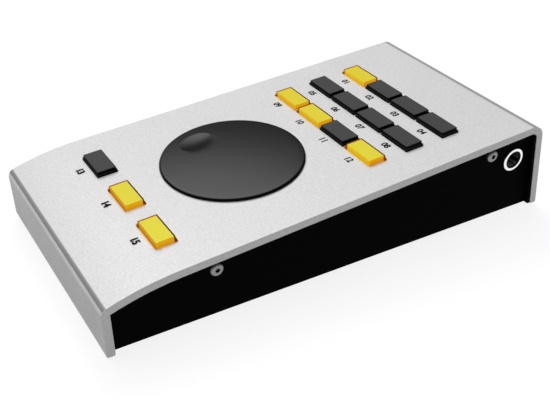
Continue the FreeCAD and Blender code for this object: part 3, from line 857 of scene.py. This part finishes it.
screw_steel = speckled("screw_steel", grey(0.2), (0.36, 0.355, 0.35), (0.35, 0.5), 0.25 * mm,
                       0.006 * mm, Metallic=0.9)
bright = screw_steel.node_tree.nodes["Principled BSDF"].inputs["Base Color"].links[0].from_socket
unshaded_share = spread(screw_steel, recess_shade(screw_steel, 1.2 * mm), 0.0, 1.0, 0.45, 0.85)
# Painted shade in the recesses, where little light comes.
dress(screw_steel, Base_Color=mix(screw_steel, unshaded_share, (*grey(0.004), 1), bright))
wear(["side_screws", "board_screws"], screw_steel)
print("screws:", len(screw_steel.node_tree.nodes), "nodes")

# %% [markdown]
# ## What hides below
# Feet, blocks and key lamps are seen only from below or through a gap, but they still want their own
# finish. Rubber is dull and coarse, milled metal has streaks that run one way, and the lamps are a
# warm white plastic. The noise recipe serves for all three.

# %% Feet, blocks and key lamps
rubber = speckled("rubber", grey(0.012), grey(0.03), (0.75, 0.95), 0.6 * mm, 0.03 * mm)
wear(["rubber_feet"], rubber)
milled = speckled("block_aluminium", (0.6, 0.6, 0.61), (0.75, 0.75, 0.76), (0.3, 0.45),
                  0.5 * mm, 0.01 * mm, stretch=(0.1, 1, 1), Metallic=0.9)
wear(["shell_blocks"], milled)
lamp_white = speckled("led_white", (0.75, 0.75, 0.7), (0.9, 0.9, 0.86), (0.25, 0.4),
                      0.3 * mm, 0.003 * mm)
wear(["key_leds"], lamp_white)
print("feet, blocks and key lamps dressed")

# %% [markdown]
# The board is fibreglass under green lacquer, and its copper tracks show through as paler lines. The
# borders between random cells imitate them without a single track being drawn.

# %% Circuit board
lacquer = finish("circuit_board", (0.01, 0.06, 0.03))
tracks = node_in(lacquer, "ShaderNodeTexVoronoi", feature="DISTANCE_TO_EDGE")
tracks.inputs["Scale"].default_value = 1 / (2.5 * mm)
feed(lacquer, own_place(lacquer), tracks.inputs["Vector"])
track_edge = tracks.outputs["Distance"]
dress(lacquer, Roughness=spread(lacquer, grain(lacquer, 0.5 * mm), 0.25, 0.4),
      Base_Color=ramp(lacquer, track_edge, ((0.06, (0.03, 0.13, 0.05)), (0.1, (0.01, 0.055, 0.025)))))
bump(lacquer, track_edge, 0.02 * mm)
wear(["main_board"], lacquer)
bare = [name for name, piece in nodes.items() if not any(
    m.use_nodes and len(m.node_tree.nodes) > 3 for m in piece.data.materials if m)]
print("left bare, since finer caps stand for them:", bare)

# %% [markdown]
# ## The numbers
# Each key has its number printed on the metal in front of it, in plain black ink. Print is very
# thin, but a flat picture would need an image, and a decal would flicker against the metal. A text
# object turned into a mesh does it well. The plain letters are too thin for print, so a bevel makes
# their strokes wider all round, and the mesh is then flattened to a few hundredths of a millimetre.

# %% Printed numbers
digit_height = 3.2
digit_share = 0.73    # a digit's height as a share of the font's size
ink_rise = 0.03
ink_spread = 0.2
narrow = 0.95
ahead_rear = 8.65
ahead_front = 9.25
number_across = -0.4
flatten = ink_rise / (ink_rise + 2 * ink_spread)
ink = speckled("printed_black", grey(0.004), grey(0.012), (0.5, 0.65), 0.15 * mm, 0.004 * mm,
               Specular_IOR_Level=0.1)


def written(name, words):
    """A mesh of a short text, centred, with its strokes widened by the ink's spread."""
    writing = bpy.data.curves.new(name, "FONT")
    writing.body = words
    writing.align_x = "CENTER"
    writing.align_y = "CENTER"
    writing.size = digit_height / digit_share * mm
    writing.extrude = ink_rise / 2 * mm
    writing.bevel_depth = ink_spread * mm
    writing.bevel_resolution = 0
    writing.resolution_u = 6
    shape = bpy.data.objects.new("shape", writing)
    bpy.context.scene.collection.objects.link(shape)
    bpy.context.view_layer.update()
    seen = shape.evaluated_get(bpy.context.evaluated_depsgraph_get())
    data = bpy.data.meshes.new_from_object(seen)
    bpy.data.objects.remove(shape)
    data.name = name
    return data


for number, (across, down) in key_spots.items():
    name = f"number_{number:02d}"
    ahead = ahead_rear if down in rear_rows else ahead_front
    spot = on_plate(across + number_across, down + ahead, ink_rise / 2)
    add_piece(name, written(name, f"{number:02d}"), "root", ink,
              spot @ Matrix.Diagonal((narrow, 1, flatten, 1)))
print(len(key_spots), "numbers printed")
